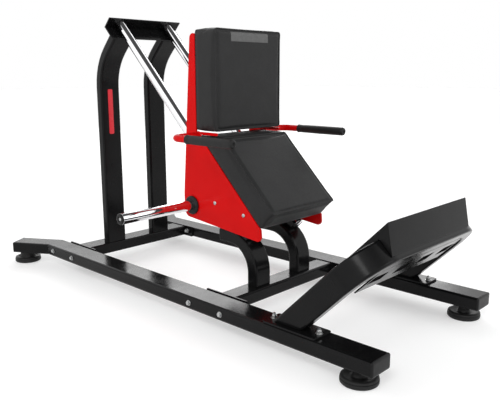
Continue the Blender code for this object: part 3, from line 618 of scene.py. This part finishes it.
def carriage_screws():
    """Two button screws through each side plate, into the housing's lugs."""
    for side_name, side in SIDES:
        face = reach("side_plate_" + side_name, Y * side)
        for number, (x, z) in enumerate(((0.177, 0.484), (0.362, 0.453))):
            spot = Vector((x, side * face, z))
            label = "plate_screw_" + side_name + "_" + str(number + 1)
            button_screw(label, spot, Y * side, "carriage", 0.0095)
        cap = "sleeve_cap_" + side_name
        end = end_point(cap, Y * side, X, Z)
        button_screw("sleeve_screw_" + side_name, end - Y * side * 0.0052, Y * side, "carriage", 0.0080)


# ---------------------------------------------------------------- carriage: turned parts

def bush(node):
    top = end_point(node, -DOWN_ROD, Y, OFF_ROD)
    length = reach(node, DOWN_ROD) + reach(node, -DOWN_ROD)
    rod_radius = (reach("guide_rod_left", Y) + reach("guide_rod_left", -Y)) / 2
    inner = rod_radius + BORE_PLAY
    ring = [(0, inner + 0.0015), (0.0015, inner), (length - 0.0015, inner), (length, inner + 0.0015),
            (length, BUSH_RADIUS), (0, BUSH_RADIUS)]
    stand_in(node, lathe(ring, top, DOWN_ROD))


def handle_and_grip(side_name, side):
    node = "handle_" + side_name
    low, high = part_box(node)
    plate_face = side * min(abs(low.y), abs(high.y))
    run_y = side * (max(abs(low.y), abs(high.y)) - HANDLE_RADIUS)
    start_x = low.x + HANDLE_RADIUS
    height = (low.z + high.z) / 2
    corners = [(start_x, plate_face, height), (start_x, run_y, height), (high.x, run_y, height)]
    corners = [Vector(corner) for corner in corners]
    path = [corners[0]]
    centre = Vector((start_x + HANDLE_BEND, run_y - side * HANDLE_BEND, height))
    for step in range(17):
        angle = math.radians(90 * step / 16)
        path.append(centre + Vector((-math.cos(angle), side * math.sin(angle), 0)) * HANDLE_BEND)
    path.append(corners[2])
    stand_in(node, tube_along(path, HANDLE_RADIUS, resolution=10))

    grip = "grip_" + side_name
    begin, end = -reach(grip, -X), reach(grip, X)
    length = end - begin
    inner = HANDLE_RADIUS + 0.0002
    profile = [(0, inner), (0, GRIP_RADIUS + 0.0002),
               (0.0045, GRIP_RADIUS + 0.0002), (0.0060, GRIP_RADIUS - 0.0012)]
    for groove in range(3):
        spot = 0.014 + 0.006 * groove
        profile += [(spot, GRIP_RADIUS - 0.0010), (spot + 0.001, GRIP_RADIUS - 0.0022),
                    (spot + 0.002, GRIP_RADIUS - 0.0010)]
    profile += [(0.034, GRIP_RADIUS - 0.0006), (length * 0.5, GRIP_RADIUS),
                (length - 0.010, GRIP_RADIUS - 0.0002), (length - 0.003, GRIP_RADIUS - 0.0022),
                (length, GRIP_RADIUS - 0.0070), (length, 0.0075), (length - 0.0044, 0.0068),
                (length - 0.0044, 0), (length - 0.0054, 0), (length - 0.0054, inner)]
    spot = Vector((begin, run_y, height))
    stand_in(grip, lathe(eased(profile, 0.0012, 3), spot, X))

    bead = [(0, HANDLE_RADIUS - 0.001), (0, HANDLE_RADIUS + 0.0042), (0.0015, HANDLE_RADIUS + 0.0030),
            (0.0042, HANDLE_RADIUS + 0.0004), (0.0042, HANDLE_RADIUS - 0.001)]
    weld_spot = Vector((start_x, plate_face, height))
    weld = lathe(eased(bead, 0.001, 3), weld_spot, Y * side, 48)
    as_piece("handle_weld_" + side_name, weld, "red_paint", "carriage")


def weight_horn(side_name, side):
    collar = "sleeve_collar_" + side_name
    face = end_point(collar, Y * -side, X, Z)
    thick = reach(collar, Y) + reach(collar, -Y)
    disc = [(0, 0), (0, COLLAR_RADIUS - 0.002), (0.002, COLLAR_RADIUS), (thick - 0.004, COLLAR_RADIUS),
            (thick - 0.001, COLLAR_RADIUS - 0.003), (thick, COLLAR_RADIUS - 0.006), (thick, 0.0335),
            (thick - 0.0018, 0.0325), (thick - 0.0018, 0.0290), (thick, 0.0280), (thick, 0)]
    stand_in(collar, lathe(eased(disc, 0.0015, 3), face, Y * side))

    sleeve = "weight_sleeve_" + side_name
    start = end_point(sleeve, Y * -side, X, Z)
    length = reach(sleeve, Y) + reach(sleeve, -Y)
    tube = [(0, 0.021), (0, SLEEVE_RADIUS), (length, SLEEVE_RADIUS), (length, 0.021)]
    stand_in(sleeve, lathe(eased(tube, 0.0012, 3, closed=True), start, Y * side))

    cap = "sleeve_cap_" + side_name
    end = end_point(cap, Y * side, X, Z)
    plug = [(-0.0280, 0), (-0.0280, 0.0205), (-0.0080, 0.0205), (-0.0080, SLEEVE_RADIUS),
            (-0.0030, SLEEVE_RADIUS), (-0.0006, SLEEVE_RADIUS - 0.0022),
            (0, SLEEVE_RADIUS - 0.0050), (0, 0.0125), (-0.0010, 0.0108),
            (-0.0052, 0.0100), (-0.0052, 0)]
    stand_in(cap, lathe(eased(plug, 0.0010, 3), end, Y * side))


# ---------------------------------------------------------------- upholstery

def runs_outward(edge, outward):
    """Whether an edge runs from a pad's back to its front."""
    run = (edge.verts[1].co - edge.verts[0].co).normalized()
    return abs(run.dot(outward)) > 0.6


def foam_block(node, back_plane, outward):
    """A pad's starting mesh: its CAD solid, reaching back round its board, with rounded edges."""
    bm = bmesh.new()
    bm.from_mesh(NODES[node].data)
    bmesh.ops.remove_doubles(bm, verts=bm.verts, dist=1e-5)
    bmesh.ops.dissolve_limit(bm, angle_limit=math.radians(1), verts=bm.verts, edges=bm.edges)
    rear = min(vertex.co.dot(outward) for vertex in bm.verts)
    top = max(vertex.co.z for vertex in bm.verts)
    for vertex in bm.verts:
        if vertex.co.dot(outward) < rear + 0.001:
            back = outward if vertex.co.z < top - 0.001 else X / X.dot(outward)
            vertex.co += back * (back_plane - REAR_SPARE - rear)
    corners = [edge for edge in bm.edges if runs_outward(edge, outward) and edge.calc_face_angle(0) > 1]
    bmesh.ops.bevel(bm, geom=corners, offset=CORNER, segments=5, profile=0.5, affect="EDGES")
    rims = [edge for edge in bm.edges if not runs_outward(edge, outward) and edge.calc_face_angle(0) > 0.7]
    bmesh.ops.bevel(bm, geom=rims, offset=SOFT_EDGE, segments=4, profile=0.5, affect="EDGES",
                    clamp_overlap=True)
    mesh = bpy.data.meshes.new(node + "_foam")
    bm.to_mesh(mesh)
    bm.free()
    block = bpy.data.objects.new(node + "_foam", mesh)
    bpy.context.collection.objects.link(block)
    remesh = block.modifiers.new("remesh", "REMESH")
    remesh.mode = "VOXEL"
    remesh.voxel_size = VOXEL
    smooth = block.modifiers.new("smooth", "SMOOTH")
    smooth.iterations = 4
    bake_modifiers(block)
    normals = [vertex.normal.copy() for vertex in block.data.vertices]
    for vertex, normal in zip(block.data.vertices, normals):
        if normal.dot(outward) > -0.8:
            vertex.co -= normal * SWELL
    return block


def bake_modifiers(thing):
    """Replaces an object's mesh by its evaluated mesh and clears its modifiers."""
    graph = bpy.context.evaluated_depsgraph_get()
    baked = bpy.data.meshes.new_from_object(thing.evaluated_get(graph))
    old = thing.data
    thing.modifiers.clear()
    thing.data = baked
    bpy.data.meshes.remove(old)


def inflate(block, back_plane, outward):
    """Swells the cover over its foam by cloth simulation, held where it is stapled to the board."""
    held = block.vertex_groups.new(name="stapled")
    stapled = [v.index for v in block.data.vertices if v.co.dot(outward) < back_plane + 0.008]
    held.add(stapled, 1.0, "REPLACE")
    rest = [vertex.co.copy() for vertex in block.data.vertices]
    cloth = block.modifiers.new("cover", "CLOTH")
    cloth.settings.use_pressure = True
    cloth.settings.uniform_pressure_force = 2.5
    cloth.settings.effector_weights.gravity = 0.0
    cloth.settings.tension_stiffness = 25.0
    cloth.settings.compression_stiffness = 25.0
    cloth.settings.bending_stiffness = 8.0
    cloth.settings.vertex_group_mass = "stapled"
    scene = bpy.context.scene
    for moment in range(1, 13):
        scene.frame_set(moment)
    bake_modifiers(block)
    scene.frame_set(1)
    for vertex, start in zip(block.data.vertices, rest):
        moved = vertex.co - start
        if moved.length > SWELL_LIMIT:
            vertex.co = start + moved.normalized() * SWELL_LIMIT


def sew(block, seam, back_plane, outward):
    """Subdivides the cover, presses the seam's valley into it and keeps it off its board."""
    finer = block.modifiers.new("finer", "SUBSURF")
    finer.levels = 1
    finer.render_levels = 1
    bake_modifiers(block)
    points = []
    for start, end in zip(seam, seam[1:] + seam[:1]):
        count = max(1, int((end - start).length / 0.003))
        points += [start.lerp(end, step / count) for step in range(count)]
    tree = BVHTree.FromPolygons(points + [point + outward * 1e-5 for point in points],
                                [(i, (i + 1) % len(points), i + len(points)) for i in range(len(points))])
    normals = [vertex.normal.copy() for vertex in block.data.vertices]
    for vertex, normal in zip(block.data.vertices, normals):
        found = tree.find_nearest(vertex.co, 0.02)
        if found[0] is not None:
            vertex.co -= normal * 0.0022 * math.exp(-(found[3] / 0.0050) ** 2)
        below = back_plane - vertex.co.dot(outward)
        if below > 0:
            vertex.co += outward * below


def on_surface(block, points, lift):
    """Moves points to the nearest place on a mesh, then off it by lift."""
    bm = bmesh.new()
    bm.from_mesh(block.data)
    tree = BVHTree.FromBMesh(bm)
    made = []
    for point in points:
        place, normal, _, _ = tree.find_nearest(point)
        made.append(place + normal * lift)
    bm.free()
    return made


def pad(node, board, outward, welt_points, seam_points):
    """An upholstered pad: a cloth-simulated cover drawn round foam and board, with a welt cord."""
    back_plane = WRAP_EASE - reach(board, -outward)
    block = foam_block(node, back_plane, outward)
    inflate(block, back_plane, outward)
    rough_seam = on_surface(block, seam_points, 0.0)
    sew(block, rough_seam, back_plane, outward)
    block.name = node + "_cover"
    block.data.name = block.name
    block.data.materials.clear()
    block.data.materials.append(FINISH["vinyl"])
    block.data.shade_smooth()
    block.data.set_sharp_from_angle(angle=math.radians(50))
    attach(block, "carriage")
    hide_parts(node, board)
    cord = on_surface(block, welt_points, WELT_RADIUS * 0.80)
    as_piece(node + "_welt", tube_along(cord, WELT_RADIUS, closed=True, resolution=3), "vinyl", "carriage")
    return block


def seam_loop(centre, across, up, half_across, half_up, radius):
    """A rounded rectangle in space, for a seam that runs round a pad's front."""
    flat = rounded_rectangle(2 * half_across, 2 * half_up, radius, 8)
    dense = []
    for start, end in zip(flat, flat[1:] + flat[:1]):
        count = max(1, int((end - start).length / 0.012))
        dense += [start.lerp(end, step / count) for step in range(count)]
    return [centre + across * point.x + up * point.y for point in dense]


def back_rest():
    node = "back_pad"
    low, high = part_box(node)
    inset = 0.0030
    centre = Vector((high.x - inset, 0, (low.z + high.z) / 2))
    half_across = (high.y - low.y) / 2 - inset
    half_up = (high.z - low.z) / 2 - inset
    welt = seam_loop(centre, Y, Z, half_across, half_up, 0.013)
    seam = seam_loop(centre, Y, Z, half_across - SEAM_INSET, half_up - SEAM_INSET, 0.010)
    cover = pad(node, "back_board", X, welt, seam)
    blank_patch(cover, high.x)


def seat():
    node = "seat_pad"
    inset = 0.0030
    front = reach(node, OFF_ROD)
    low_end = reach(node, DOWN_ROD)
    top = reach(node, Z)
    high_end = front - top * math.sqrt(2)
    half_across = reach(node, Y) - inset
    middle_along = (low_end + high_end) / 2
    half_up = (low_end - high_end) / 2 - inset
    centre = DOWN_ROD * middle_along + OFF_ROD * (front - inset)
    welt = seam_loop(centre, Y, DOWN_ROD, half_across, half_up, 0.013)
    seam = seam_loop(centre, Y, DOWN_ROD, half_across - SEAM_INSET, half_up - SEAM_INSET, 0.010)
    pad(node, "seat_board", OFF_ROD, welt, seam)


def blank_patch(cover, front):
    """A plain grey patch on the back pad, laid on the cover's own curve."""
    columns, rows = 60, 12
    bm = bmesh.new()
    bm.from_mesh(cover.data)
    tree = BVHTree.FromBMesh(bm)
    bm.free()
    patch = bmesh.new()
    grid = []
    for row in range(rows + 1):
        line = []
        for column in range(columns + 1):
            y = PATCH_HALF * (2 * column / columns - 1)
            z = PATCH_LOW + (PATCH_HIGH - PATCH_LOW) * row / rows
            place = tree.ray_cast(Vector((front + 0.05, y, z)), -X)[0]
            border = min(column, columns - column, row, rows - row)
            lift = 0.0003 if border == 0 else 0.0009
            line.append(patch.verts.new(place + X * lift))
        grid.append(line)
    for row in range(rows):
        for column in range(columns):
            patch.faces.new((grid[row][column], grid[row][column + 1],
                             grid[row + 1][column + 1], grid[row + 1][column]))
    bmesh.ops.recalc_face_normals(patch, faces=patch.faces)
    bmesh.ops.solidify(patch, geom=patch.faces[:], thickness=0.0008)
    made = as_piece("back_pad_patch", patch, "vinyl", "carriage")
    made.data.materials[0] = patch_vinyl()


def patch_vinyl():
    made = new_material("patch_vinyl", (0.085, 0.085, 0.085), 0.50, Specular_IOR_Level=0.25)
    tree = made.node_tree
    mottled(made, (0.078, 0.078, 0.078), (0.092, 0.092, 0.092), ramp(tree, noise(tree, 60.0), 0, 1))
    uneven_gloss(made, 0.44, 0.58, 90.0)
    creases = ramp(tree, cells(tree, 900.0), 0, 1, 0.0, 0.25)
    bump(made, (creases, 0.00006))
    return made


def badge():
    """A blank red label on the right upright's front face."""
    node = "upright_right"
    face = reach(node, X, lambda point: point.z < 0.6)
    centre = Vector((face, middle(node, Y).y - 0.003, (BADGE_LOW + BADGE_HIGH) / 2))
    outline = (BADGE_WIDE, BADGE_HIGH - BADGE_LOW, 0.007)
    plate = soft_plate(outline, centre, (Y, Z, X), 0.0012, 0.0006)
    made = as_piece("upright_badge", plate, "red_paint", "frame")
    made.data.materials[0] = label_red()


def label_red():
    made = new_material("label_red", (0.58, 0.03, 0.04), 0.34, Specular_IOR_Level=0.20)
    tree = made.node_tree
    mottled(made, (0.55, 0.028, 0.038), (0.60, 0.034, 0.046), ramp(tree, noise(tree, 80.0), 0, 1))
    uneven_gloss(made, 0.24, 0.36, 120.0)
    bump(made, (noise(tree, 700.0, 2.0), 0.00003))
    return made


# ---------------------------------------------------------------- camera, light and floor

def add_camera():
    """The camera stands in front of the foot plate, to the right, and looks slightly down."""
    yaw, pitch, roll = (math.radians(angle) for angle in (46.385, 11.562, -0.147))
    level = math.cos(pitch)
    forward = Vector((-math.cos(yaw) * level, math.sin(yaw) * level, -math.sin(pitch)))
    right = forward.cross(Z).normalized()
    upward = right.cross(forward)
    rolled_right = right * math.cos(roll) + upward * math.sin(roll)
    rolled_up = upward * math.cos(roll) - right * math.sin(roll)
    data = bpy.data.cameras.new("camera")
    data.sensor_width = 36
    data.lens = 44.33
    data.clip_end = 200
    made = bpy.data.objects.new("camera", data)
    bpy.context.collection.objects.link(made)
    pose = Matrix((rolled_right, rolled_up, -forward)).transposed().to_4x4()
    pose.translation = Vector((2.2309, -2.1410, 1.07))
    made.matrix_world = pose
    bpy.context.scene.camera = made


def soft_light(name, place, aim, size, power, tint=(1, 1, 1)):
    data = bpy.data.lights.new(name, "AREA")
    data.shape = "RECTANGLE"
    data.size, data.size_y = size
    data.energy = power
    data.color = tint
    made = bpy.data.objects.new(name, data)
    bpy.context.collection.objects.link(made)
    made.location = place
    made.rotation_mode = "QUATERNION"
    made.rotation_quaternion = (Vector(aim) - Vector(place)).to_track_quat("-Z", "Y")
    made.visible_camera = False


def add_studio():
    """A pale floor under a white wall of light, open and dark overhead."""
    scene = bpy.context.scene
    scene.view_settings.view_transform = "Standard"
    world = bpy.data.worlds.new("studio")
    scene.world = world
    world.use_nodes = True
    tree = world.node_tree
    tree.nodes.clear()
    place = add_node(tree, "ShaderNodeTexCoord")
    split = add_node(tree, "ShaderNodeSeparateXYZ")
    tree.links.new(place.outputs["Generated"], split.inputs["Vector"])
    bands = add_node(tree, "ShaderNodeValToRGB")
    stops = ((0.0, 1.0), (0.46, 1.0), (0.52, 1.30), (0.78, 1.42), (0.888, 1.42), (0.915, 0.08), (1.0, 0.08))
    ramp_stops = bands.color_ramp.elements
    while len(ramp_stops) < len(stops):
        ramp_stops.new(0.5)
    for stop, (position, level) in zip(ramp_stops, stops):
        stop.position = position
        stop.color = (level, level, level, 1)
    height = add_node(tree, "ShaderNodeMapRange", From_Min=-1.0, From_Max=1.0, To_Min=0.0, To_Max=1.0)
    tree.links.new(split.outputs["Z"], height.inputs["Value"])
    tree.links.new(height.outputs["Result"], bands.inputs["Fac"])
    sky = add_node(tree, "ShaderNodeBackground", Strength=1.0)
    tree.links.new(bands.outputs["Color"], sky.inputs["Color"])
    seen = add_node(tree, "ShaderNodeBackground", Color=(1, 1, 1, 1), Strength=1.0)
    rays = add_node(tree, "ShaderNodeLightPath")
    mix = add_node(tree, "ShaderNodeMixShader")
    tree.links.new(rays.outputs["Is Camera Ray"], mix.inputs["Fac"])
    tree.links.new(sky.outputs["Background"], mix.inputs[1])
    tree.links.new(seen.outputs["Background"], mix.inputs[2])
    out = add_node(tree, "ShaderNodeOutputWorld")
    tree.links.new(mix.outputs["Shader"], out.inputs["Surface"])

    soft_light("key", (2.3, -3.6, 4.0), (0.4, 0, 0.4), (2.0, 2.0), 75)
    soft_light("fill", (4.6, 1.2, 2.6), (0.2, 0, 0.6), (2.2, 2.2), 28)
    soft_light("rear", (-6.0, 6.0, 4.6), (0, 0, 0.3), (9.0, 3.4), 300)

    bm = bmesh.new()
    bmesh.ops.create_grid(bm, x_segments=1, y_segments=1, size=45)
    mesh = bpy.data.meshes.new("floor")
    bm.to_mesh(mesh)
    bm.free()
    floor = bpy.data.objects.new("floor", mesh)
    bpy.context.collection.objects.link(floor)
    floor.location.z = -0.0005
    pale = new_material("pale_floor", (0.70, 0.70, 0.70), 0.85, Specular_IOR_Level=0.1,
                        Emission_Color=(1, 1, 1, 1), Emission_Strength=0.34)
    mesh.materials.append(pale)


# ---------------------------------------------------------------- the whole machine

def build():
    add_camera()
    for side_name, side in SIDES:
        guide_rod(side_name)
        rod_screw(side_name)
        rubber_stop(side_name)
        rail_cap("rail_cap_front_" + side_name, X, Y)
        rear_out = Vector((-math.cos(RAIL_SPLAY), side * math.sin(RAIL_SPLAY), 0))
        rail_cap("rail_cap_rear_" + side_name, rear_out, rear_out.cross(Z))
        levelling_foot("foot_front_" + side_name, FRONT_NECK)
        levelling_foot("foot_rear_" + side_name, REAR_NECK)
        foot_stud("foot_front_" + side_name)
        for place_name in ("lower", "upper"):
            bush("linear_bush_" + place_name + "_" + side_name)
        handle_and_grip(side_name, side)
        weight_horn(side_name, side)
    joint_bolts()
    carriage_screws()
    badge()
    back_rest()
    seat()
    for node, thing in NODES.items():
        if thing.hide_render:
            continue
        if node.startswith(ROUNDED_TUBES):
            break_edges(node, 0.0023, 20, 2)
        else:
            break_edges(node, 0.0012)
    add_studio()


build()
